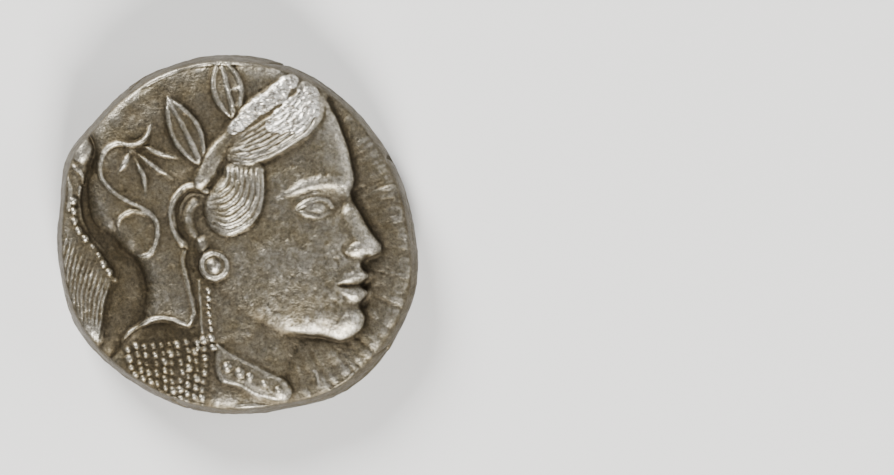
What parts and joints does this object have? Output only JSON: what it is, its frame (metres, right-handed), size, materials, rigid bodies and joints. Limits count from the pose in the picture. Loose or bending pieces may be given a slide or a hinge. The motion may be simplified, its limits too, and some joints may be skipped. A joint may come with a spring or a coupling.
{
  "type": "tetradrachm coin",
  "caption": "Thick hammered silver coin with an irregular rounded flan, a helmeted head in high relief on top and a sunk field with an owl beneath",
  "frame": {"origin": "middle of the coin's box, on the plane that the owl side's rim rests on", "axes": "+Z is the coin's thickness, up out of the head side; +Y is the top of the head; +X is the way the face looks"},
  "size_m": [0.024, 0.0242, 0.0051],
  "materials": {
    "silver": "worn silver with a satin, finely pitted surface and brown toning in the hollows"
  },
  "bodies": {
    "root": {"coin": "silver"}
  },
  "joints": []
}
